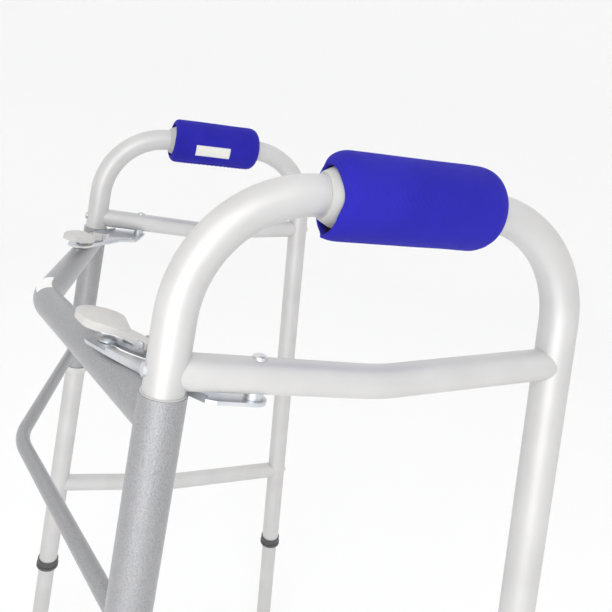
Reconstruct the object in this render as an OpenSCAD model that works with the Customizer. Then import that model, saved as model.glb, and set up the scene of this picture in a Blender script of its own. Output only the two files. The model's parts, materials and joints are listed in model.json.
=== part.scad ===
// Folding walking frame with padded grips, millimetres.
// +Z up, -Y is the front, the user stands at +Y, left is +X.
// Both side frames turn inwards about their front legs. A latch strap holds each one open.

/* [Side frames] */
// Height of the handle's axis above the floor
grip_height = 860; // [820:5:900]
// Distance between the two handle axes
grip_spacing = 472; // [460:2:490]
// Distance between the corners of a handle, before they are rounded
handle_span = 265; // [260:1:272]
// Centreline radius of the handle's corners
corner_r = 80; // [75:1:82]
// Outward splay of each side frame, degrees
splay = 2; // [1.5:0.1:2.5]
// Forward lean of the front legs, degrees
front_lean = 3; // [2.5:0.1:3.5]
// Backward lean of the rear legs, degrees
rear_lean = 4.5; // [4:0.1:5]
// Outer diameter of the side frame tube
tube_d = 25.4; // [25.4:0.1:25.6]
// Outer diameter of the side braces
brace_d = 22.2; // [21:0.1:22.6]

/* [Front] */
// Length of each hinge sleeve
sleeve_len = 190; // [180:1:200]
// Distance of the sleeve's upper rim below the handle axis
sleeve_drop = 120; // [119:0.5:122]
// Angle by which each half of the crossbar runs forwards, degrees
bow = 14.3; // [13:0.1:15.5]
// Diameter of the lower front bar
lower_bar_d = 12.7; // [12:0.1:14]

/* [Folding latch] */
// Distance of the strap's rivet from the leg axis, along the brace
rivet_reach = 55; // [54:0.5:56]
// Distance of the latch pin from the leg axis, along the crossbar
pin_reach = 90; // [89:0.5:91]
// Fold angle of the left side frame, degrees
left_fold = 93.5; // [92:0.1:94]
// Fold angle of the right side frame, degrees
right_fold = 86.5; // [85:0.1:88]

/* [Grips and pads] */
// Length of each padded cover
pad_len = 120; // [112:1:126]
// Outer diameter of each padded cover
pad_d = 56; // [52:1:58]

/* [Leg extensions] */
// Distance between two height settings
pitch = 25.4; // [25:0.1:25.4]
// Number of height settings
settings = 7; // [5:2:7]

/* [Hidden] */
$fn = 64;
wall = 1.5;
tube_r = tube_d / 2;
bore_r = tube_r - wall;
brace_r = brace_d / 2;
half_span = handle_span / 2;
slack = 0.05;
seam = 0.3;

// Places the middle of the whole frame, rather than the handle's middle, over the origin
y_shift = -1.24;

// Grip and padded cover, measured along the handle from its middle
grip_half = 57;
pad_lift = 1;
function pad_first(side) = side == "left" ? -58 : -56;

// Leg lengths, measured down each leg axis from the handle's corner
front_floor = grip_height / cos(splay) / cos(front_lean);
rear_floor = grip_height / cos(splay) / cos(rear_lean);
outer_end_gap = 235;
button_above_end = 15 + pitch * (settings - 1) / 2;

// Side braces: drops below the handle axis
upper_front_drop = 107;
upper_rear_drop = 103;
upper_sag = 10.5;
lower_drop = 493;
lower_sag = 10;
brace_bend_r = 160;

// Front crossbars
bar_drop = 137;
bar_r = 12.7;
bar_bend_r = 92;
lower_bar_drop = 274;
lower_bar_past = 5;
lower_bar_r = lower_bar_d / 2;
lower_bend_r = 80;
sleeve_r = 14.5;
sleeve_bore_r = 13;
bushing_r = 13.6;
bushing_len = 12;

// Latch, measured from the leg axis at the crossbar, z along the leg
strap_z = bar_r + seam;
strap_t = 2.4;
strap_half_w = 12;
rivet_end_r = 8.5;
strap_past_pin = 5;
strap_shoulder = [[104, 16.3], [69, 23], [17, 26], [11, 23]];
strap_turn = 0.8;
rivet_r = 3;
pin_r = 3.4;
pin_head_r = 6.5;
pin_head_z = strap_z + strap_t + 0.5;
slot_gap = 0.4;
slot_rim = 8.5;
rim_w = 1.6;
rim_h = 2;
rear_rim_at = 72;
lug_at = 88;
lug_w = 10;
lug_z = 21.5;
paddle_press = 5.5;
paddle_pin_r = 1.5;

// Extensions and tips
inner_r = bore_r - slack;
inner_wall = 1.4;
tip_h = 50;
sole_t = 8;
button_r = 3.6;
button_out = 2.4;
hole_r = 4;

silver = [0.86, 0.87, 0.88];
hammertone = [0.62, 0.63, 0.65];
plated = [0.75, 0.78, 0.82];
blue = [0.10, 0.10, 0.80];
light_grey = [0.82, 0.81, 0.80];
dark_grey = [0.25, 0.25, 0.27];
off_white = [0.93, 0.93, 0.91];

// ---- Points and directions ----

function unit(v) = v / norm(v);
function turned(v) = [-v.y, v.x];
function bend_angle(pts, i) =
    let (a = unit(pts[i] - pts[i - 1]), b = unit(pts[i + 1] - pts[i])) acos(a * b);
function bend_cut(pts, i, bend_r) = bend_r * tan(bend_angle(pts, i) / 2);

// A point on the front or rear leg axis of a side frame's plane, by its drop below the handle
function front_leg_at(drop) = [-half_span - drop * tan(front_lean), -drop];
function rear_leg_at(drop) = [half_span + drop * tan(rear_lean), -drop];

// A straight or a bent length of round bar. A wall thinner than r makes it a tube.
module straight(len, r, t) {
    difference() {
        cylinder(h = len, r = r);
        if (t < r) translate([0, 0, -1]) cylinder(h = len + 2, r = r - t);
    }
}

module bend(angle, bend_r, r, t) {
    rotate_extrude(angle = angle) translate([bend_r, 0]) difference() {
        circle(r = r);
        if (t < r) circle(r = r - t);
    }
}

// A round bar or tube along a flat path, with its inner corners bent to one radius
module pipe(pts, bend_r, r, t) {
    last = len(pts) - 1;
    for (i = [0 : last - 1]) {
        run = unit(pts[i + 1] - pts[i]);
        from = pts[i] + run * (i == 0 ? 0 : bend_cut(pts, i, bend_r));
        to = pts[i + 1] - run * (i == last - 1 ? 0 : bend_cut(pts, i + 1, bend_r));
        translate(from) rotate([0, 0, atan2(run.y, run.x)]) rotate([0, 90, 0])
            straight(norm(to - from), r, t);
    }
    if (last > 1) for (i = [1 : last - 1]) {
        run = unit(pts[i] - pts[i - 1]);
        next = unit(pts[i + 1] - pts[i]);
        side = sign(run.x * next.y - run.y * next.x);
        cut = bend_cut(pts, i, bend_r);
        centre = pts[i] - run * cut + side * bend_r * turned(run);
        first = side > 0 ? pts[i] - run * cut : pts[i] + next * cut;
        translate(centre) rotate([0, 0, atan2(first.y - centre.y, first.x - centre.x)])
            bend(bend_angle(pts, i), bend_r, r, t);
        joint(pts[i] - run * cut, run, r, t);
        joint(pts[i] + next * cut, next, r, t);
    }
}

// A hair-thin ring that fuses a bend to the straight length beside it
module joint(at, run, r, t) {
    hair = 0.02;
    translate(at) rotate([0, 0, atan2(run.y, run.x)]) rotate([0, 90, 0]) translate([0, 0, -0.4])
        straight(0.8, r + hair, t < r ? t + 2 * hair : r + 1);
}

// ---- Places ----

// The left side is modelled and the right side mirrors it
module on(side) {
    if (side == "left") children();
    else mirror([1, 0, 0]) children();
}

// Plane of the left side frame: x to the rear, y up, z outwards, origin in the handle's middle
module side_plane() {
    translate([grip_spacing / 2, y_shift, grip_height])
        rotate([0, -splay, 0]) rotate([90, 0, 90]) children();
}

// Down a leg from the handle's corner: z up the leg, x to the rear, y inwards
module down_leg(which, drop) {
    lean = which == "front" ? -front_lean : rear_lean;
    corner = which == "front" ? -half_span : half_span;
    side_plane() translate([corner, 0, 0]) rotate([0, 0, lean]) rotate([-90, 0, 0])
        translate([0, 0, -drop]) children();
}

// Along the handle axis: z to the rear, x inwards, y up
module along_handle(at) {
    side_plane() translate([at, 0, 0]) rotate([0, 90, 0]) children();
}

bar_down = bar_drop / cos(front_lean);
module latch() {
    down_leg("front", bar_down) children();
}

// ---- Latch geometry, seen along the leg ----

open_angle = 90 + bow;
pin_at = pin_reach * [-sin(bow), cos(bow)];
rivet_at = [rivet_reach, 0];
strap_len = norm(pin_at - rivet_at);
strap_dir = atan2(pin_at.y, pin_at.x - rivet_reach);

// Where the pin is in the strap's own frame when the side has folded by angle a:
// x runs from the rivet along the strap
function pin_seen(a) =
    let (
        v = pin_reach * [cos(open_angle - a), sin(open_angle - a)] - rivet_at,
        back = strap_turn * a - strap_dir
    ) [v.x * cos(back) - v.y * sin(back), v.x * sin(back) + v.y * cos(back)];

slot_steps = 24;
function slot_path(fold) = [for (i = [0 : slot_steps]) pin_seen(fold * i / slot_steps)];

function along(path) = let (last = len(path) - 1)
    [for (i = [0 : last]) unit(path[min(i + 1, last)] - path[max(i - 1, 0)])];
function angle_of(v) = atan2(v.y, v.x);
function arc(centre, r, from, to, steps = 10) =
    [for (i = [0 : steps]) let (a = from + (to - from) * i / steps) centre + r * [cos(a), sin(a)]];

// A strip of the given half width on both sides of a path, with round ends
module strip(path, half_w) {
    last = len(path) - 1;
    dirs = along(path);
    first_side = angle_of(turned(dirs[0]));
    last_side = angle_of(turned(dirs[last]));
    polygon(concat(
        arc(path[0], half_w, first_side, first_side + 180),
        [for (i = [1 : last - 1]) path[i] - half_w * turned(dirs[i])],
        arc(path[last], half_w, last_side - 180, last_side),
        [for (i = [last - 1 : -1 : 1]) path[i] + half_w * turned(dirs[i])]
    ));
}

// The strap's outline: a small round end at the rivet, a lobe round the slot's far end, a wide round
// end past the pin, and a broad shoulder that runs beside the leg
module strap_outline(path) {
    end = path[len(path) - 1];
    dirs = along(path);
    edge = angle_of(end) - acos((rivet_end_r - slot_rim) / norm(end));
    lobe = angle_of(turned(dirs[len(path) - 1]));
    polygon(concat(
        arc([0, 0], rivet_end_r, 140, 360 + edge),
        arc(end, slot_rim, edge, lobe),
        [for (i = [len(path) - 2 : -1 : 1])
            let (q = path[i] + slot_rim * turned(dirs[i])) if (q.y < -strap_half_w) q],
        arc([strap_len + strap_past_pin, 0], strap_half_w, -90, 75),
        strap_shoulder
    ));
}

module in_strap() {
    latch() translate(rivet_at) rotate([0, 0, strap_dir]) children();
}

// ---- Fixed front frame ----

// The crossbar's halves are square to the legs, so the bar's plane dips towards the front
module bar_plane(drop) {
    at = front_leg_at(drop);
    leg_x = grip_spacing / 2 + drop * sin(splay);
    rise = (leg_x * sin(splay) - leg_x * tan(bow) * sin(front_lean)) / (leg_x * tan(bow));
    translate([0, y_shift + at.x, grip_height - drop * cos(splay)]) rotate([atan(rise), 0, 0]) children();
}
function bar_points(drop, past = 0) =
    let (half = grip_spacing / 2 + drop * sin(splay), tip = half * tan(bow) / cos(5) + past)
    [[half, 0], [0, -tip], [-half, 0]];

module sleeve_space(past = 0) {
    for (s = ["left", "right"]) on(s)
        down_leg("front", (sleeve_drop + sleeve_len) / cos(front_lean) + past)
            cylinder(h = sleeve_len + 2 * past, r = sleeve_r);
}

module front_crossbar() {
    color(hammertone) difference() {
        bar_plane(bar_drop) pipe(bar_points(bar_drop), bar_bend_r, bar_r, wall);
        sleeve_space(20);
        for (s = ["left", "right"]) on(s)
            latch() translate(pin_at) cylinder(h = 30, r = pin_r + slack);
    }
}

module lower_crossbar() {
    lower_wall = 1.2;
    color(hammertone) difference() {
        bar_plane(lower_bar_drop)
            pipe(bar_points(lower_bar_drop, lower_bar_past), lower_bend_r, lower_bar_r, lower_wall);
        sleeve_space(20);
    }
}

// A blank patch on top of the crossbar's bend, a little to the right. It starts at an angle round
// the bend, and covers the bar from an angle above its front to a width behind that.
module crossbar_label() {
    from = 256;
    length = 20;
    front = 42;
    behind = 5.7;
    film = 0.3;
    gap = 0.03;
    pts = bar_points(bar_drop);
    centre = [0, pts[1].y + bar_bend_r / cos(bow)];
    color(off_white) bar_plane(bar_drop) translate(centre) rotate([0, 0, from])
        rotate_extrude(angle = length) translate([bar_bend_r, 0]) intersection() {
            difference() {
                circle(r = bar_r + film);
                circle(r = bar_r + gap);
            }
            rotate(front) translate([behind, 0]) square(2 * bar_r);
        }
}

module sleeve(side) {
    bottom = (sleeve_drop + sleeve_len) / cos(front_lean);
    color(hammertone) on(side) down_leg("front", bottom) difference() {
        cylinder(h = sleeve_len, r = sleeve_r);
        translate([0, 0, -1]) cylinder(h = sleeve_len + 2, r = sleeve_bore_r);
        translate([0, 0, -1]) cylinder(h = bushing_len + 1, r = bushing_r);
        translate([0, 0, sleeve_len - bushing_len]) cylinder(h = bushing_len + 1, r = bushing_r);
    }
}

// Nylon ring that lines one end of a sleeve, with a thin lip over the sleeve's rim
module bushing(side, end) {
    lip_h = 0.5;
    lip_r = sleeve_r - 0.9;
    bottom = (sleeve_drop + sleeve_len) / cos(front_lean);
    color(off_white) on(side) down_leg("front", bottom)
        translate([0, 0, end == "upper" ? sleeve_len : 0]) mirror([0, 0, end == "upper" ? 0 : 1])
        difference() {
            union() {
                translate([0, 0, -bushing_len]) cylinder(h = bushing_len, r = bushing_r);
                cylinder(h = lip_h, r = lip_r);
            }
            translate([0, 0, -bushing_len - 1]) cylinder(h = bushing_len + 3, r = tube_r + slack);
        }
}

// Headed pin that stands on the crossbar and rides in the strap's slot
module latch_pin(side) {
    foot = 5;
    disc = 1.4;
    crown = 1.2;
    crown_r = 4.2;
    color(plated) on(side) latch() translate(pin_at) {
        translate([0, 0, bar_r - foot]) cylinder(h = pin_head_z - bar_r + foot + 1, r = pin_r);
        translate([0, 0, pin_head_z]) cylinder(h = disc, r = pin_head_r);
        translate([0, 0, pin_head_z + disc]) cylinder(h = crown, r1 = pin_head_r, r2 = crown_r);
    }
}

// ---- Side frames ----

function frame_points() = [
    front_leg_at((front_floor - outer_end_gap) * cos(front_lean)),
    [-half_span, 0], [half_span, 0],
    rear_leg_at((rear_floor - outer_end_gap) * cos(rear_lean))
];

module frame_tube(side) {
    color(silver) on(side) difference() {
        side_plane() pipe(frame_points(), corner_r, tube_r, wall);
        for (which = ["front", "rear"], i = [-(settings - 1) / 2 : (settings - 1) / 2])
            down_leg(which, button_drop(which) + i * pitch)
                rotate([90, 0, 0]) cylinder(h = 20, r = hole_r);
    }
}

function brace_points(front_drop, rear_drop, sag) =
    let (a = front_leg_at(front_drop), b = rear_leg_at(rear_drop))
    [a, (a + b) / 2 - [0, sag], b];

function upper_points() = brace_points(upper_front_drop, upper_rear_drop, upper_sag);

// Height of the upper brace's axis over the latch's plane, at a distance from the leg
function brace_rise(reach) =
    let (
        at = front_leg_at(bar_drop) + reach * [cos(front_lean), -sin(front_lean)],
        start = upper_points()[0],
        across = turned(unit(upper_points()[1] - start))
    ) ((start - at) * across) / ([sin(front_lean), cos(front_lean)] * across);

module leg_space() {
    for (which = ["front", "rear"])
        down_leg(which, 700) cylinder(h = 620, r = tube_r);
}

module brace(side, points, holed) {
    color(silver) on(side) difference() {
        side_plane() pipe(points, brace_bend_r, brace_r, wall);
        leg_space();
        if (holed) latch() translate(rivet_at) cylinder(h = 60, r = rivet_r + slack);
    }
}

// Rivet through the upper brace, with a saddle above, a spacer below and a flat end under the strap
module strap_rivet(side) {
    rise = brace_rise(rivet_reach);
    head_r = 4.6;
    crown_r = 3.2;
    spacer_r = 6;
    foot_r = 5.5;
    foot_z = strap_z - 0.9;
    color(plated) on(side) {
        difference() {
            latch() translate([rivet_reach, 0, rise]) {
                cylinder(h = brace_r + 1, r = head_r);
                translate([0, 0, brace_r + 1]) cylinder(h = 0.9, r1 = head_r, r2 = crown_r);
                mirror([0, 0, 1]) cylinder(h = rise - strap_z - strap_t - 0.1, r = spacer_r);
            }
            side_plane() pipe(upper_points(), brace_bend_r, brace_r, brace_r);
        }
        latch() translate([rivet_reach, 0, foot_z]) {
            cylinder(h = rise + brace_r + 0.6 - foot_z, r = rivet_r);
            cylinder(h = 0.8, r = foot_r);
        }
    }
}

// Vinyl hand grip with a conical collar at each end
module grip(side) {
    body_r = 16.5;
    collar_r = 19;
    lip_r = 13.8;
    half = [[0, grip_half], [lip_r, grip_half], [lip_r + 1.2, grip_half - 0.8],
        [collar_r - 0.8, grip_half - 7], [collar_r, grip_half - 10], [collar_r - 0.6, grip_half - 12],
        [body_r, grip_half - 17]];
    color(light_grey) on(side) along_handle(0) difference() {
        rotate_extrude() polygon(concat(
            half, [for (i = [len(half) - 1 : -1 : 0]) [half[i].x, -half[i].y]]
        ));
        translate([0, 0, -grip_half - 1]) cylinder(h = 2 * grip_half + 2, r = tube_r);
    }
}

// Padded cover around the grip. Its rear end closes onto the bare tube.
module pad(side) {
    r = pad_d / 2;
    edge = 5;
    end = 13;
    lining_r = 20.9;
    rear_lining_r = 16.5;
    lining_last = grip_half + 1;
    first = pad_first(side);
    color(blue) on(side) along_handle(0) translate([0, pad_lift, 0]) difference() {
        rotate_extrude() {
            translate([0, first]) square([r - edge, pad_len]);
            translate([0, first + edge]) square([r, pad_len - edge - end]);
            translate([r - edge, first + edge]) circle(r = edge);
            translate([0, first + pad_len - end]) intersection() {
                circle(r = r);
                square([r, end]);
            }
        }
        translate([0, 0, first - 1]) cylinder(h = lining_last - first + 1, r = lining_r);
        translate([0, 0, lining_last - 1]) cylinder(h = pad_len, r = rear_lining_r);
    }
}

// Blank woven patch on the inner side of the right pad
module pad_label(side) {
    from = -26.5;
    length = 45;
    lowest = -33.5;
    span = 30;
    color(off_white) on(side) along_handle(0) translate([0, pad_lift, from]) rotate([0, 0, lowest])
        rotate_extrude(angle = span) translate([pad_d / 2 + 0.02, 0]) square([0.5, length]);
}

// Rivet heads on the legs' outer faces, which hold the ends of the braces
module brace_rivets(side) {
    head_r = 4.2;
    rim = 1.4;
    crown = 1.1;
    crown_r = 2.4;
    ends = [
        ["front", upper_front_drop], ["rear", upper_rear_drop],
        ["front", lower_drop], ["rear", lower_drop]
    ];
    color(plated) on(side) for (end = ends)
        down_leg(end[0], end[1] / cos(end[0] == "front" ? front_lean : rear_lean)) difference() {
            rotate([0, end[0] == "front" ? -90 : 90, 0]) {
                cylinder(h = tube_r + rim, r = head_r);
                translate([0, 0, tube_r + rim]) cylinder(h = crown, r1 = head_r, r2 = crown_r);
            }
            translate([0, 0, -10]) cylinder(h = 20, r = tube_r);
        }
}

// Ring clamped on the leg under the sleeve
module sleeve_collar(side) {
    height = 7.5;
    collar_r = sleeve_r + 0.5;
    split = 2;
    drop = (sleeve_drop + sleeve_len) / cos(front_lean) + height + 1.5;
    color(off_white) on(side) down_leg("front", drop) difference() {
        cylinder(h = height, r = collar_r);
        translate([0, 0, -1]) cylinder(h = height + 2, r = tube_r);
        translate([-tube_r - 7, -split / 2, -1]) cube([8, split, height + 2]);
    }
}

// ---- Latch strap and release paddle ----

function far_fold(side) = side == "left" ? left_fold : right_fold;

module latch_strap(side) {
    path = slot_path(far_fold(side));
    color(plated) on(side) in_strap() {
        translate([0, 0, strap_z]) difference() {
            linear_extrude(strap_t) strap_outline(path);
            translate([0, 0, -1]) linear_extrude(strap_t + 2) strip(path, pin_r + slot_gap);
            translate([0, 0, -1]) cylinder(h = strap_t + 2, r = rivet_r + 0.1);
        }
        // Upturned rims: along the shoulder's edge, and along the rear edge
        for (i = [0, 1]) let (from = strap_shoulder[i + 1], to = strap_shoulder[i])
            translate([from.x, from.y, strap_z + strap_t]) rotate([0, 0, angle_of(to - from)])
                translate([0, -rim_w, 0]) cube([norm(to - from), rim_w, rim_h]);
        translate([rear_rim_at, -strap_half_w, strap_z + strap_t])
            cube([strap_len - rear_rim_at - 4, rim_w, rim_h]);
        // Ear that carries the paddle's hinge pin, on the rear edge
        difference() {
            translate([lug_at - lug_w / 2, -strap_half_w, strap_z + strap_t])
                cube([lug_w, rim_w, lug_z + 3.5 - strap_z - strap_t]);
            translate([lug_at, 0, lug_z]) rotate([90, 0, 0]) cylinder(h = 30, r = paddle_pin_r + slack);
        }
    }
}

module paddle_pin(side) {
    start = 3.6;
    head_r = 2.4;
    color(plated) on(side) in_strap() translate([lug_at, start, lug_z]) rotate([90, 0, 0]) {
        cylinder(h = strap_half_w + 4.4, r = paddle_pin_r);
        translate([0, 0, -1]) cylinder(h = 1, r = head_r);
        translate([0, 0, strap_half_w + 3.8]) cylinder(h = 1, r = head_r);
    }
}

// Moulded lever on the strap. Its wide head overhangs the pin and the crossbar.
module release_paddle(side) {
    base = -2.4;
    tongue = [30, 9.8, 4.8];
    // Discs that the head is stretched over: x, y, radius, height
    discs = [[22, -6, 5, 5], [42, -7, 16, 6], [52, -8, 13, 5]];
    dome_at = [44, -7, 0];
    dome_r = 15;
    color(light_grey) on(side) in_strap() translate([lug_at, 0, lug_z]) rotate([0, -paddle_press, 0])
        difference() {
            union() {
                translate([-4, -10, base]) cube(tongue);
                hull() {
                    for (disc = discs) translate([disc[0], disc[1], base])
                        cylinder(h = disc[3], r = disc[2], $fn = 32);
                    translate(dome_at) scale([1, 1, 0.5]) sphere(r = dome_r, $fn = 32);
                }
            }
            translate([0, 1, 0]) rotate([90, 0, 0]) cylinder(h = 14, r = paddle_pin_r + slack);
            translate([-20, -30, base - 10]) cube([100, 60, 10]);
        }
}

// Return spring: rings of wire round the hinge pin, joined by its two legs
module paddle_spring(side) {
    wire = 0.45;
    ring = 2.2;
    coil_step = 0.8;
    color(plated) on(side) in_strap() translate([lug_at, 0.6, lug_z]) rotate([-90, 0, 0]) {
        for (i = [0 : 2]) translate([0, 0, 0.5 + i * coil_step])
            rotate_extrude($fn = 32) translate([ring, 0]) circle(r = wire, $fn = 16);
        translate([ring, 0, 0.3]) cylinder(h = 2, r = 0.4, $fn = 16);
    }
}

// ---- Leg extensions ----

function floor_drop(which) = which == "front" ? front_floor : rear_floor;
function outer_end(which) = floor_drop(which) - outer_end_gap;
function button_drop(which) = outer_end(which) - button_above_end;

// Plastic ring round the end of the outer leg
module ferrule(side, which) {
    floor_t = 2;
    cup_h = 10;
    lip_h = 4;
    color(dark_grey) on(side) down_leg(which, outer_end(which)) difference() {
        translate([0, 0, -floor_t]) {
            cylinder(h = floor_t + cup_h, r = tube_r + 1.6);
            cylinder(h = lip_h, r = tube_r + 2.4);
        }
        cylinder(h = 20, r = tube_r);
        translate([0, 0, -4]) cylinder(h = 5, r = inner_r + 0.3);
    }
}

module extension(side, which) {
    low = floor_drop(which) - sole_t;
    high = button_drop(which) - 45;
    color(silver) on(side) difference() {
        down_leg(which, low) difference() {
            cylinder(h = low - high, r = inner_r);
            translate([0, 0, -1]) cylinder(h = low - high + 2, r = inner_r - inner_wall);
        }
        down_leg(which, button_drop(which)) rotate([90, 0, 0]) cylinder(h = 20, r = button_r + slack);
    }
}

// Rubber tip with two ribs, cut level with the floor. It is modelled longer by the part cut off.
module tip(side, which) {
    cut = 4;
    foot_r = 20;
    neck_r = 15.4;
    rib_r = 16.6;
    color(dark_grey) on(side) difference() {
        down_leg(which, floor_drop(which) + cut) difference() {
            rotate_extrude() polygon([
                [0, 0], [foot_r, 0], [foot_r, 11], [foot_r - 1.4, 14], [neck_r, 22],
                [neck_r, 28], [rib_r, 29.5], [neck_r, 31], [neck_r, 37], [rib_r, 38.5], [neck_r, 40],
                [neck_r - 0.2, tip_h + cut - 2], [neck_r - 1.4, tip_h + cut], [0, tip_h + cut]
            ]);
            translate([0, 0, sole_t + cut]) cylinder(h = tip_h, r = inner_r);
        }
        translate([-600, -600, -60]) cube([1200, 1200, 60]);
    }
}

module snap_button(side, which) {
    root = 7.5;
    chamfer = 1;
    reach = tube_r + button_out;
    color(plated) on(side) down_leg(which, button_drop(which)) rotate([90, 0, 0]) {
        translate([0, 0, root]) cylinder(h = reach - chamfer - root, r = button_r);
        translate([0, 0, reach - chamfer]) cylinder(h = chamfer, r1 = button_r, r2 = button_r - chamfer);
    }
}

// Leaf spring behind the button, folded back inside the tube
module clip(side, which) {
    strip_w = 6;
    t = 0.6;
    front_at = 6.9;
    back_at = -0.4;
    fold_z = 26;
    fold_r = (front_at - back_at + t) / 2;
    color(plated) on(side) down_leg(which, button_drop(which)) rotate([0, 0, -90])
        translate([0, strip_w / 2, 0]) rotate([90, 0, 0]) linear_extrude(strip_w) {
            translate([front_at, -6]) square([t, fold_z + 6]);
            translate([back_at, -2]) square([t, fold_z + 2]);
            translate([back_at + fold_r, fold_z]) intersection() {
                difference() {
                    circle(r = fold_r);
                    circle(r = fold_r - t);
                }
                translate([-5, 0]) square([10, 5]);
            }
        }
}

// ---- Nodes ----

front_crossbar();
lower_crossbar();
crossbar_label();
for (side = ["left", "right"]) {
    sleeve(side);
    bushing(side, "upper");
    bushing(side, "lower");
    latch_pin(side);
    frame_tube(side);
    brace(side, upper_points(), true);
    brace(side, brace_points(lower_drop, lower_drop, lower_sag), false);
    grip(side);
    pad(side);
    strap_rivet(side);
    brace_rivets(side);
    sleeve_collar(side);
    latch_strap(side);
    paddle_pin(side);
    release_paddle(side);
    paddle_spring(side);
    for (which = ["front", "rear"]) {
        leg = str(side, "_", which);
        ferrule(side, which);
        extension(side, which);
        tip(side, which);
        snap_button(side, which);
        clip(side, which);
    }
}
pad_label("right");  // right_pad_label
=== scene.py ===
"""Looks of a folding walking frame with padded grips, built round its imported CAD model.

Metres, in the CAD model's own frame: +Z up, -Y the front, +X the left side.
The metal and plastic parts keep their CAD shapes and get materials here. The padded covers,
the woven patch and the stitching are modelled here.
"""
import json
import math

import bpy
from mathutils import Matrix, Vector, noise
from mathutils.bvhtree import BVHTree


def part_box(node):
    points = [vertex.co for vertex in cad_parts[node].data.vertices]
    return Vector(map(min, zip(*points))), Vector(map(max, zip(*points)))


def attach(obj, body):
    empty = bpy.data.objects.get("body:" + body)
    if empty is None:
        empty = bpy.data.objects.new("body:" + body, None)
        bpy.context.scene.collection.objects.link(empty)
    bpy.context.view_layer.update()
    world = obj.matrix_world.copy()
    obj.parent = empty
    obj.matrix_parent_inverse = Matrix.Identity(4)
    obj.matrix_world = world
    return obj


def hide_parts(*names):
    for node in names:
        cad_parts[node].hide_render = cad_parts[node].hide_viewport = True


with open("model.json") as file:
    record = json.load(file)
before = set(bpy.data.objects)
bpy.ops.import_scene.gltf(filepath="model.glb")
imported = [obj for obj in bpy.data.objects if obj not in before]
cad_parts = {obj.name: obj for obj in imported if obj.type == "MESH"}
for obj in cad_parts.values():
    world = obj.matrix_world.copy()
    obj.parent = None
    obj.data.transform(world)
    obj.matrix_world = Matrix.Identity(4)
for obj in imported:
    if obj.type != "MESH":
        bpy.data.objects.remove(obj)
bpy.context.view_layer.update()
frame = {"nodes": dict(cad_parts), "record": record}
nodes = frame["nodes"]
SIDES = {"left": 1, "right": -1}
MM = 0.001


# ---- Small helpers ----

def add(tree, kind, **inputs):
    """A new node with its inputs set by name; underscores stand for spaces."""
    made = tree.nodes.new(kind)
    for name, value in inputs.items():
        made.inputs[name.replace("_", " ")].default_value = value
    return made


def new_material(name, colour, roughness, metallic=0.0):
    """A Principled material, with its tree, its shader and the object coordinates."""
    made = bpy.data.materials.new(name)
    made.use_nodes = True
    tree = made.node_tree
    shader = tree.nodes["Principled BSDF"]
    shader.inputs["Base Color"].default_value = (*colour, 1)
    shader.inputs["Roughness"].default_value = roughness
    shader.inputs["Metallic"].default_value = metallic
    place = tree.nodes.new("ShaderNodeTexCoord").outputs["Object"]
    return made, tree, shader, place


def noise_at(tree, place, scale, detail=2.0, roughness=0.5, stretch=None):
    """Noise in object space, stretched along an axis where asked."""
    made = add(tree, "ShaderNodeTexNoise", Scale=scale, Detail=detail, Roughness=roughness)
    if stretch:
        mapping = add(tree, "ShaderNodeMapping", Scale=stretch)
        tree.links.new(place, mapping.inputs["Vector"])
        place = mapping.outputs["Vector"]
    tree.links.new(place, made.inputs["Vector"])
    return made.outputs["Fac"]


def ramp(tree, value, stops):
    """A colour ramp through (position, colour) stops."""
    made = tree.nodes.new("ShaderNodeValToRGB")
    bar = made.color_ramp
    while len(bar.elements) < len(stops):
        bar.elements.new(0.5)
    for element, (position, colour) in zip(bar.elements, stops):
        element.position = position
        element.color = (*colour, 1)
    tree.links.new(value, made.inputs["Fac"])
    return made.outputs["Color"]


def spread(tree, value, low, high):
    """A value from 0 to 1 mapped to a range."""
    made = add(tree, "ShaderNodeMapRange", To_Min=low, To_Max=high)
    tree.links.new(value, made.inputs["Value"])
    return made.outputs["Result"]


def mixed(tree, kind, a, b):
    """Two values joined by a math operation; the second may be a plain number."""
    made = tree.nodes.new("ShaderNodeMath")
    made.operation = kind
    tree.links.new(a, made.inputs[0])
    if isinstance(b, float):
        made.inputs[1].default_value = b
    else:
        tree.links.new(b, made.inputs[1])
    return made.outputs["Value"]


def bump(tree, shader, height, strength, distance):
    """Turns a height into the shader's normal."""
    made = add(tree, "ShaderNodeBump", Strength=strength, Distance=distance)
    tree.links.new(height, made.inputs["Height"])
    tree.links.new(made.outputs["Normal"], shader.inputs["Normal"])


def tinted(colour, by):
    return tuple(min(1.0, c * by) for c in colour)


# ---- Materials ----

def satin_aluminium():
    """Satin anodised tube: a soft cloudy tone, fine grain and faint handling marks."""
    colour = (0.58, 0.574, 0.572)
    made, tree, shader, place = new_material("satin_aluminium", colour, 0.46, 0.45)
    cloud = noise_at(tree, place, 22, 3)
    tone = ramp(tree, cloud, [(0.3, tinted(colour, 0.95)), (0.7, tinted(colour, 1.04))])
    tree.links.new(tone, shader.inputs["Base Color"])
    marks = noise_at(tree, place, 160, 4, 0.6, (1, 1, 0.12))
    tree.links.new(spread(tree, marks, 0.42, 0.52), shader.inputs["Roughness"])
    bump(tree, shader, noise_at(tree, place, 1700, 2), 0.12, 0.0002)
    return made


def hammertone_enamel():
    """Grey hammertone paint: shallow dimples about a millimetre across that break up the highlights."""
    made, tree, shader, place = new_material("hammertone_enamel", (0.36, 0.36, 0.37), 0.3, 0.5)
    dimples = noise_at(tree, place, 900, 2, 0.6)
    tone = ramp(tree, dimples, [(0.3, (0.28, 0.28, 0.295)), (0.7, (0.37, 0.37, 0.385))])
    tree.links.new(tone, shader.inputs["Base Color"])
    gloss = noise_at(tree, place, 90, 3)
    tree.links.new(spread(tree, gloss, 0.24, 0.38), shader.inputs["Roughness"])
    shader.inputs["Coat Weight"].default_value = 0.25
    shader.inputs["Coat Roughness"].default_value = 0.2
    bump(tree, shader, dimples, 0.85, 0.0007)
    return made


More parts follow.
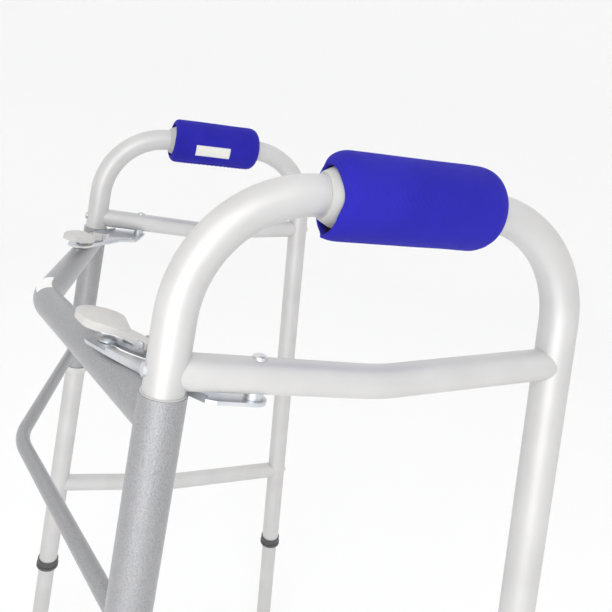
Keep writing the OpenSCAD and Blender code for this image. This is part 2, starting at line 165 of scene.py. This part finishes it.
def zinc_plate():
    """Bright zinc plate, bluish with faint straw patches and fine scratches."""
    made, tree, shader, place = new_material("zinc_plate", (0.66, 0.68, 0.71), 0.34, 0.9)
    patch = noise_at(tree, place, 60, 2)
    tone = ramp(tree, patch, [
        (0.35, (0.60, 0.63, 0.67)), (0.6, (0.69, 0.70, 0.72)), (0.75, (0.72, 0.70, 0.66)),
    ])
    tree.links.new(tone, shader.inputs["Base Color"])
    scratch = noise_at(tree, place, 500, 3, 0.7, (1, 0.15, 1))
    tree.links.new(spread(tree, scratch, 0.28, 0.44), shader.inputs["Roughness"])
    bump(tree, shader, scratch, 0.15, 0.0002)
    return made


def moulded(name, colour, roughness, grain, strength, metallic=0.0):
    """Moulded plastic, vinyl or rubber: a fine spark-eroded grain and a slightly uneven tone."""
    made, tree, shader, place = new_material(name, colour, roughness, metallic)
    cloud = noise_at(tree, place, 45, 3)
    tone = ramp(tree, cloud, [(0.3, tinted(colour, 0.93)), (0.7, tinted(colour, 1.05))])
    tree.links.new(tone, shader.inputs["Base Color"])
    pores = noise_at(tree, place, grain, 3, 0.6)
    tree.links.new(spread(tree, pores, roughness - 0.07, roughness + 0.07), shader.inputs["Roughness"])
    bump(tree, shader, pores, strength, 0.0003)
    return made


def ribs(tree, place, direction, pitch, distortion=0.4):
    """Parallel ribs at a pitch in metres."""
    made = add(
        tree, "ShaderNodeTexWave", Scale=2 * math.pi / (20 * pitch),
        Distortion=distortion, Detail=1.0, Detail_Scale=1.0,
    )
    made.bands_direction = direction
    tree.links.new(place, made.inputs["Vector"])
    return made.outputs["Fac"]


def ribbed_knit():
    """Royal blue knit laminated to foam: rings of ribs round the grip, with fuzz on top."""
    made, tree, shader, place = new_material("ribbed_knit", (0.022, 0.018, 0.38), 0.75)
    rib = ribs(tree, place, "Y", 0.8 * MM)
    stitch = noise_at(tree, place, 1500, 2, 0.6, (1, 0.6, 1))
    wear = noise_at(tree, place, 28, 3)
    blend = mixed(tree, "ADD", mixed(tree, "MULTIPLY", rib, 0.3), mixed(tree, "MULTIPLY", wear, 0.7))
    tone = ramp(tree, blend, [(0.25, (0.016, 0.013, 0.29)), (0.75, (0.025, 0.021, 0.40))])
    tree.links.new(tone, shader.inputs["Base Color"])
    shader.inputs["Sheen Weight"].default_value = 0.08
    shader.inputs["Sheen Roughness"].default_value = 0.4
    shader.inputs["Sheen Tint"].default_value = (0.2, 0.2, 1.0, 1)
    shader.inputs["Specular IOR Level"].default_value = 0.12
    height = mixed(tree, "ADD", rib, mixed(tree, "MULTIPLY", stitch, 0.8))
    bump(tree, shader, height, 0.5, 0.0004)
    return made


def loop_lining():
    """Black loop fabric and foam inside the covers."""
    made, tree, shader, place = new_material("loop_lining", (0.012, 0.012, 0.014), 0.9)
    loops = noise_at(tree, place, 900, 4, 0.75)
    tone = ramp(tree, loops, [(0.45, (0.004, 0.004, 0.005)), (0.75, (0.05, 0.05, 0.055))])
    tree.links.new(tone, shader.inputs["Base Color"])
    bump(tree, shader, loops, 1.0, 0.0008)
    return made


def woven_patch():
    """Off-white damask weave with a slight satin gloss."""
    made, tree, shader, place = new_material("woven_patch", (0.80, 0.80, 0.77), 0.6)
    warp = ribs(tree, place, "Y", 0.5 * MM, 0.1)
    weft = ribs(tree, place, "Z", 0.4 * MM, 0.1)
    weave = mixed(tree, "MULTIPLY", warp, weft)
    tone = ramp(tree, weave, [(0.1, (0.66, 0.66, 0.62)), (0.6, (0.84, 0.84, 0.81))])
    tree.links.new(tone, shader.inputs["Base Color"])
    shader.inputs["Sheen Weight"].default_value = 0.2
    bump(tree, shader, weave, 0.4, 0.0002)
    return made


def vinyl_sticker():
    """Blank glossy film with a little orange peel."""
    made, tree, shader, place = new_material("vinyl_sticker", (0.84, 0.84, 0.83), 0.35)
    peel = noise_at(tree, place, 350, 2)
    tone = ramp(tree, peel, [(0.3, (0.80, 0.80, 0.79)), (0.7, (0.87, 0.87, 0.86))])
    tree.links.new(tone, shader.inputs["Base Color"])
    bump(tree, shader, peel, 0.2, 0.0003)
    return made


def thread(name, colour):
    """Twisted sewing thread."""
    made, tree, shader, place = new_material(name, colour, 0.7)
    twist = noise_at(tree, place, 2500, 2)
    tone = ramp(tree, twist, [(0.3, tinted(colour, 0.7)), (0.7, tinted(colour, 1.2))])
    tree.links.new(tone, shader.inputs["Base Color"])
    bump(tree, shader, twist, 0.5, 0.0001)
    return made


LOOKS = {
    "satin_tube": satin_aluminium(),
    "hammertone": hammertone_enamel(),
    "plated": zinc_plate(),
    "grip_vinyl": moulded("grip_vinyl_grey", (0.45, 0.45, 0.435), 0.55, 1200, 0.2),
    "paddle_plastic": moulded("paddle_plastic_grey", (0.53, 0.52, 0.505), 0.42, 1500, 0.15),
    "nylon": moulded("natural_nylon", (0.60, 0.60, 0.58), 0.45, 1500, 0.1),
    "dark_plastic": moulded("dark_plastic_grey", (0.07, 0.07, 0.075), 0.5, 1300, 0.2),
    "rubber": moulded("dark_rubber", (0.055, 0.055, 0.058), 0.75, 900, 0.4),
    "blank_sticker": vinyl_sticker(),
}
KNIT = ribbed_knit()
LINING = loop_lining()
PATCH = woven_patch()
BLUE_THREAD = thread("blue_thread", (0.02, 0.018, 0.32))
WHITE_THREAD = thread("white_thread", (0.75, 0.75, 0.72))


def dress_cad_nodes():
    """Gives every CAD node that stays visible the material of its slot."""
    slots = {row["node"]: row["material_slot"] for row in frame["record"]["subparts"]}
    for name, obj in nodes.items():
        look = LOOKS.get(slots[name])
        if look:
            obj.data.materials.clear()
            obj.data.materials.append(look)


# ---- Meshes ----

def new_object(name, points, faces, materials):
    """A smooth-shaded mesh object in the scene."""
    mesh = bpy.data.meshes.new(name)
    mesh.from_pydata([tuple(p) for p in points], [], faces)
    for look in materials:
        mesh.materials.append(look)
    mesh.polygons.foreach_set("use_smooth", [True] * len(mesh.polygons))
    obj = bpy.data.objects.new(name, mesh)
    bpy.context.scene.collection.objects.link(obj)
    return obj


def ring_faces(count, first, second):
    """Quads between two rings of points that start at the given indices."""
    return [
        (first + k, first + (k + 1) % count, second + (k + 1) % count, second + k)
        for k in range(count)
    ]


def stitches(name, pairs, radius, look):
    """Short round threads between pairs of (start, end, outward normal), arched in the middle."""
    points, faces, sides = [], [], 6
    for start, end, out in pairs:
        along = (end - start).normalized()
        across = along.cross(out).normalized()
        first = len(points)
        for t in (0.0, 0.25, 0.5, 0.75, 1.0):
            lift = math.sin(math.pi * t)
            centre = start.lerp(end, t) + out * radius * 1.1 * lift
            size = radius * (0.45 + 0.55 * lift)
            for k in range(sides):
                turn = 2 * math.pi * k / sides
                points.append(centre + size * (math.cos(turn) * across + math.sin(turn) * out))
        for ring in range(4):
            faces += ring_faces(sides, first + ring * sides, first + (ring + 1) * sides)
        faces.append(tuple(range(first, first + sides))[::-1])
        faces.append(tuple(range(first + 4 * sides, first + 5 * sides)))
    return new_object(name, points, faces, [look])


def interpolate(stops, at):
    """Smooth value through (position, value) stops."""
    for (a, va), (b, vb) in zip(stops, stops[1:]):
        if at <= b:
            t = max(0.0, (at - a) / (b - a))
            t = t * t * (3 - 2 * t)
            return va + (vb - va) * t
    return stops[-1][1]


# ---- Padded covers ----

PAD_R = 28.2 * MM
PAD_LIFT = 1 * MM
PAD_COLUMNS = 96
PAD_ROWS = 56
# Thickness of the front rim, and radius of the rear rim
EDGE = 2.2 * MM
REAR_RIM_R = 14 * MM
# Angle of the lapped seam and of the tucks beside it. All angles here run from the outer side
# upwards, in degrees.
LAP_AT = -112
TUCKS_AT = (-72, -58, -141)
# Each cover's rear end, the length over which its front turns in, and its front rim, as stops of
# angle and distance along the grip. The left cover hangs open in front, and the right one is snug.
SHAPES = {
    "left": {
        "rear": 60.5 * MM, "turn_in": 11 * MM,
        "rim": [
            (-180, -51.0), (-140, -50.0), (-115, -50.5), (-75, -56.0), (-30, -55.0), (2, -52.5),
            (50, -54.0), (80, -54.0), (110, -54.0), (140, -52.0), (180, -51.0),
        ],
    },
    "right": {
        "rear": 61 * MM, "turn_in": 6 * MM,
        "rim": [
            (-180, -53.0), (-120, -54.0), (-60, -54.5), (0, -53.0), (60, -52.0), (120, -51.5),
            (150, -52.0), (180, -53.0),
        ],
    },
}


def handle_axis(side):
    """Middle of the grip's axis."""
    low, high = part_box(side + "_grip")
    return (low + high) / 2


def rim_radius(side, turn):
    """Outer radius of the front rim: the left one is close on top and gapes underneath."""
    if side == "right":
        return 21.6 * MM
    return (22.5 - 3.4 * math.sin(turn) - 1.0 * math.cos(turn)) * MM


def cover_radius(side, at, front, turn):
    """Radius of the cover's outer face at a distance along the grip."""
    shape = SHAPES[side]
    into = (at - front) / shape["turn_in"]
    if into < 1:
        rim = rim_radius(side, turn)
        return rim + (PAD_R - rim) * math.sqrt(max(0.0, 1 - (1 - into) ** 2))
    corner = 15 * MM
    past = (at - (shape["rear"] - corner)) / corner
    if past > 0:
        bulge = max(0.0, 1 - min(1.0, past) ** 2.6) ** (1 / 2.2)
        return REAR_RIM_R + (PAD_R - REAR_RIM_R) * bulge
    return PAD_R


def signed(degrees):
    """An angle from 0 to 360 brought to -180 to 180."""
    return degrees if degrees <= 180 else degrees - 360


def cover_sheet(side, shrink):
    """Rings of points for the outer face, from the front rim to the rear rim."""
    sign, axis = SIDES[side], handle_axis(side)
    rings = []
    for row in range(PAD_ROWS + 1):
        t = row / PAD_ROWS
        t = t - 0.07 * math.sin(2 * math.pi * t)
        ring = []
        for column in range(PAD_COLUMNS):
            turn = 2 * math.pi * column / PAD_COLUMNS
            front = interpolate(SHAPES[side]["rim"], signed(math.degrees(turn))) * MM
            at = front + (SHAPES[side]["rear"] - front) * t
            radius = cover_radius(side, at, front, turn)
            if 0 < row < PAD_ROWS:
                radius -= shrink
            ring.append(Vector((
                axis.x + sign * radius * math.cos(turn),
                axis.y + at,
                axis.z + PAD_LIFT + radius * math.sin(turn),
            )))
        rings.append(ring)
    return rings


def inflate(rings, cap):
    """Blows the sheet up as cloth held at both rims, and caps how far a point moves."""
    flat = [p for ring in rings for p in ring]
    faces = []
    for row in range(len(rings) - 1):
        faces += ring_faces(PAD_COLUMNS, row * PAD_COLUMNS, (row + 1) * PAD_COLUMNS)
    sheet = new_object("cover_sheet", flat, faces, [])
    held = sheet.vertex_groups.new(name="held")
    last = len(flat) - PAD_COLUMNS
    held.add([i for i in range(len(flat)) if i < PAD_COLUMNS or i >= last], 1.0, "REPLACE")
    held.add([r * PAD_COLUMNS + lap_column() for r in range(1, len(rings) - 1)], 0.7, "REPLACE")
    cloth = sheet.modifiers.new("cloth", "CLOTH")
    settings = cloth.settings
    settings.vertex_group_mass = "held"
    settings.quality = 6
    settings.mass = 0.3
    settings.tension_stiffness = 25
    settings.compression_stiffness = 25
    settings.shear_stiffness = 10
    settings.bending_stiffness = 0.6
    settings.use_pressure = True
    settings.uniform_pressure_force = 4
    settings.effector_weights.gravity = 0
    scene = bpy.context.scene
    for number in range(1, 21):
        scene.frame_set(number)
    graph = bpy.context.evaluated_depsgraph_get()
    blown = sheet.evaluated_get(graph).to_mesh()
    moved = [v.co.copy() for v in blown.vertices]
    bpy.data.objects.remove(sheet)
    scene.frame_set(1)
    for index, start in enumerate(flat):
        step = moved[index] - start
        if step.length > cap:
            moved[index] = start + step * (cap / step.length)
    return [moved[r * PAD_COLUMNS:(r + 1) * PAD_COLUMNS] for r in range(len(rings))]


def sew_lap(rings, side):
    """The cover's closing edge laps over itself low on the inner side, and the fabric tucks near it."""
    sign, axis = SIDES[side], handle_axis(side)
    for row, ring in enumerate(rings):
        along = row / PAD_ROWS
        fade = math.sin(math.pi * min(1.0, max(0.0, along))) ** 0.4
        for column, point in enumerate(ring):
            degrees = signed(360 * column / PAD_COLUMNS)
            past = degrees - LAP_AT
            out = Vector((point.x - axis.x, 0, point.z - axis.z - PAD_LIFT)).normalized()
            lap = 0.9 * MM * math.exp(-past / 22) if past >= 0 else 0.0
            groove = -0.5 * MM * math.exp(-((past + 3) / 3) ** 2)
            tuck = sum(
                -0.55 * MM * math.exp(-((degrees - centre - 6 * along) / 4.5) ** 2)
                for centre in TUCKS_AT
            ) * max(0.0, along - 0.35) * 1.5
            wave = 0.35 * MM * noise.noise(Vector((point.y * 38, degrees / 34, sign * 3.1)))
            point += out * fade * (lap + groove + tuck + wave)


def lap_column():
    return round(PAD_COLUMNS * (LAP_AT % 360) / 360)


def lining_radius(turn):
    """Inner face of the cover: close on the grip at the top, slack underneath."""
    return (20.6 + 2.6 * max(0.0, -math.sin(turn))) * MM


def close_cover(rings, side):
    """Outer rings, a rear lip, a lining and a hemmed front edge, as one closed shell."""
    sign, axis = SIDES[side], handle_axis(side)
    rear_y = axis.y + SHAPES[side]["rear"]

    def ring_at(size_at, y_at, lift):
        ring = []
        for column in range(PAD_COLUMNS):
            turn = 2 * math.pi * column / PAD_COLUMNS
            size = size_at(turn)
            ring.append(Vector((
                axis.x + sign * size * math.cos(turn),
                y_at(column),
                axis.z + lift + size * math.sin(turn),
            )))
        return ring

    inside = [ring_at(lambda turn: 13.0 * MM, lambda column: rear_y + 0.5 * MM, 0)]
    inside.append(ring_at(lambda turn: 13.2 * MM, lambda column: rear_y - 3 * MM, 0))
    start = rear_y - 12 * MM
    for back in (1.0, 0.7, 0.4, 0.2, 0.1):
        inside.append(ring_at(
            lining_radius, lambda column: rings[0][column].y * (1 - back) + start * back, PAD_LIFT))
    for depth in (2.5 * MM, 0.5 * MM):
        inside.append(ring_at(
            lambda turn: rim_radius(side, turn) - EDGE,
            lambda column: rings[0][column].y + depth, PAD_LIFT))
    hem = [a.lerp(b, 0.5) + Vector((0, -0.6 * MM, 0)) for a, b in zip(inside[-1], rings[0])]
    loops = rings + inside + [hem]
    points = [p for ring in loops for p in ring]
    faces = []
    for index in range(len(loops)):
        following = (index + 1) % len(loops)
        faces += ring_faces(PAD_COLUMNS, index * PAD_COLUMNS, following * PAD_COLUMNS)
    if sign < 0:
        faces = [face[::-1] for face in faces]
    pad = new_object(side + "_padded_cover", points, faces, [KNIT, LINING])
    lined = range(PAD_COLUMNS * len(rings), PAD_COLUMNS * (len(loops) - 3))
    for index, polygon in enumerate(pad.data.polygons):
        polygon.material_index = 1 if index in lined else 0
    pad.modifiers.new("round", "SUBSURF").render_levels = 1
    return pad


def lap_stitches(rings, side):
    """Two rows of stitches beside the lap's edge."""
    axis = handle_axis(side)
    pairs = []
    for offset in (2, 4):
        column = (lap_column() + offset) % PAD_COLUMNS
        line = [ring[column] for ring in rings[3:-6]]
        for a, b in zip(line[::2], line[1::2]):
            out = Vector((a.x - axis.x, 0, a.z - axis.z)).normalized()
            pairs.append((a + out * 0.05 * MM, b + out * 0.05 * MM, out))
    return stitches(side + "_pad_stitching", pairs, 0.28 * MM, BLUE_THREAD)


def padded_cover(side):
    """A sewn cover with its lining, in place of the CAD cover."""
    rings = inflate(cover_sheet(side, 1.2 * MM), 3 * MM)
    sew_lap(rings, side)
    pad = close_cover(rings, side)
    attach(pad, side + "_side")
    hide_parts(side + "_pad")
    seam = lap_stitches(rings, side)
    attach(seam, side + "_side")
    return pad


# ---- Woven patch on the right cover ----

# Lowest angle above the horizontal inward direction, and the angle that the patch covers, degrees
PATCH_LOWEST = -33.5
PATCH_SPAN = 30
PATCH_ROWS = 12
PATCH_COLUMNS = 24


def surface_hit(tree, axis, side, angle, y):
    """Point on the cover and outward direction, at an angle above the horizontal inward direction."""
    sign = SIDES[side]
    out = Vector((-sign * math.cos(angle), 0, math.sin(angle)))
    start = Vector((axis.x, y, axis.z + PAD_LIFT)) + out * 0.05
    return tree.ray_cast(start, -out)[0], out


def blank_patch(pad, side):
    """A folded-edge woven patch that follows the cover, sewn on all round, with nothing on it."""
    graph = bpy.context.evaluated_depsgraph_get()
    tree = BVHTree.FromObject(pad, graph)
    axis = handle_axis(side)
    low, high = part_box(side + "_pad_label")
    angles = [
        math.radians(PATCH_LOWEST + PATCH_SPAN * k / PATCH_ROWS) for k in range(PATCH_ROWS + 1)
    ]
    count = PATCH_COLUMNS
    lengths = [low.y + (high.y - low.y) * k / count for k in range(count + 1)]
    top, under = [], []
    for row, angle in enumerate(angles):
        for column, y in enumerate(lengths):
            place, out = surface_hit(tree, axis, side, angle, y)
            border = min(row, PATCH_ROWS - row, column, count - column)
            height = (0.85 if border == 1 else 0.55 if border else 0.35) * MM
            top.append(place + out * height)
            under.append(place + out * 0.05 * MM)
    wide, tall = count + 1, len(angles)
    faces = []
    for r in range(tall - 1):
        for c in range(wide - 1):
            a = r * wide + c
            faces.append((a, a + 1, a + wide + 1, a + wide))
            faces.append(tuple(i + len(top) for i in (a + wide, a + wide + 1, a + 1, a)))
    outline = list(range(wide)) + [r * wide + wide - 1 for r in range(1, tall)]
    outline += [(tall - 1) * wide + c for c in range(wide - 2, -1, -1)]
    outline += [r * wide for r in range(tall - 2, 0, -1)]
    for a, b in zip(outline, outline[1:] + outline[:1]):
        faces.append((b, a, a + len(top), b + len(top)))
    patch = new_object(side + "_blank_patch", top + under, faces, [PATCH])
    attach(patch, side + "_side")
    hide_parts(side + "_pad_label")
    patch_stitches(top, outline, side)


def patch_stitches(top, outline, side):
    """White stitches just inside the patch's edge."""
    axis = handle_axis(side)
    middle = sum(top, Vector()) / len(top)
    pairs = []
    for a, b in zip(outline, outline[1:] + outline[:1]):
        ends = []
        for index in (a, b):
            out = Vector((top[index].x - axis.x, 0, top[index].z - axis.z)).normalized()
            ends.append(top[index].lerp(middle, 0.07) + out * 0.35 * MM)
        start, end = ends[0].lerp(ends[1], 0.12), ends[0].lerp(ends[1], 0.88)
        out = Vector((start.x - axis.x, 0, start.z - axis.z)).normalized()
        pairs.append((start, end, out))
    sewn = stitches(side + "_patch_stitching", pairs, 0.16 * MM, WHITE_THREAD)
    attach(sewn, side + "_side")


# ---- Stage, light and camera ----

def floor():
    """Pale floor that sweeps up into a low wall all round, so that no horizon shows."""
    flat_r, bend_r, wall, sides, steps = 3.2, 1.2, 1.2, 96, 12
    profile = [(0.001, 0), (1.0, 0), (2.0, 0), (flat_r, 0)]
    for step in range(1, steps + 1):
        turn = math.pi / 2 * step / steps
        profile.append((flat_r + bend_r * math.sin(turn), bend_r * (1 - math.cos(turn))))
    profile.append((flat_r + bend_r, bend_r + wall))
    points, faces = [], []
    for radius, height in profile:
        for k in range(sides):
            turn = 2 * math.pi * k / sides
            points.append((radius * math.cos(turn), radius * math.sin(turn), height))
    for ring in range(len(profile) - 1):
        faces += ring_faces(sides, ring * sides, (ring + 1) * sides)
    look = new_material("pale_floor", (0.93, 0.93, 0.93), 0.9)[0]
    new_object("studio_floor", points, faces, [look])


def area_light(name, place, target, size, power):
    """A rectangular soft light; size is its width and height."""
    data = bpy.data.lights.new(name, "AREA")
    data.shape = "RECTANGLE"
    data.size, data.size_y = size
    data.energy = power
    lamp = bpy.data.objects.new(name, data)
    lamp.location = place
    lamp.visible_camera = False
    lamp.rotation_euler = (Vector(target) - Vector(place)).to_track_quat("-Z", "Y").to_euler()
    bpy.context.scene.collection.objects.link(lamp)


def studio():
    """White surroundings and a tall soft light near the camera."""
    world = bpy.data.worlds.new("studio")
    world.use_nodes = True
    sky = world.node_tree.nodes["Background"]
    sky.inputs["Color"].default_value = (1, 1, 1, 1)
    sky.inputs["Strength"].default_value = 1.06
    bpy.context.scene.world = world
    bpy.context.scene.view_settings.view_transform = "Standard"
    area_light("key", (0.98, -0.5, 0.85), (0.2, -0.05, 0.72), (0.8, 1.5), 7.5)


def camera():
    """Stands outside the left front leg, at handle height, looking across the frame."""
    yaw, pitch, roll = 0.343, 0.195, 0.134
    ahead = Vector((-math.cos(yaw) * math.cos(pitch), math.sin(yaw) * math.cos(pitch), -math.sin(pitch)))
    right = ahead.cross(Vector((0, 0, 1))).normalized()
    up = right.cross(ahead)
    across = math.cos(roll) * right + math.sin(roll) * up
    above = -math.sin(roll) * right + math.cos(roll) * up
    data = bpy.data.cameras.new("camera")
    data.sensor_width = 36
    data.lens = 36.56
    data.shift_x = 0.0915
    data.shift_y = -0.098
    data.clip_start = 0.01
    made = bpy.data.objects.new("camera", data)
    turn = Matrix((across, above, -ahead)).transposed().to_4x4()
    made.matrix_world = Matrix.Translation((0.5640, -0.21544, 0.8961)) @ turn
    bpy.context.scene.collection.objects.link(made)
    bpy.context.scene.camera = made


# ---- The model ----

camera()
studio()
floor()
dress_cad_nodes()
covers = {side: padded_cover(side) for side in SIDES}
blank_patch(covers["right"], "right")
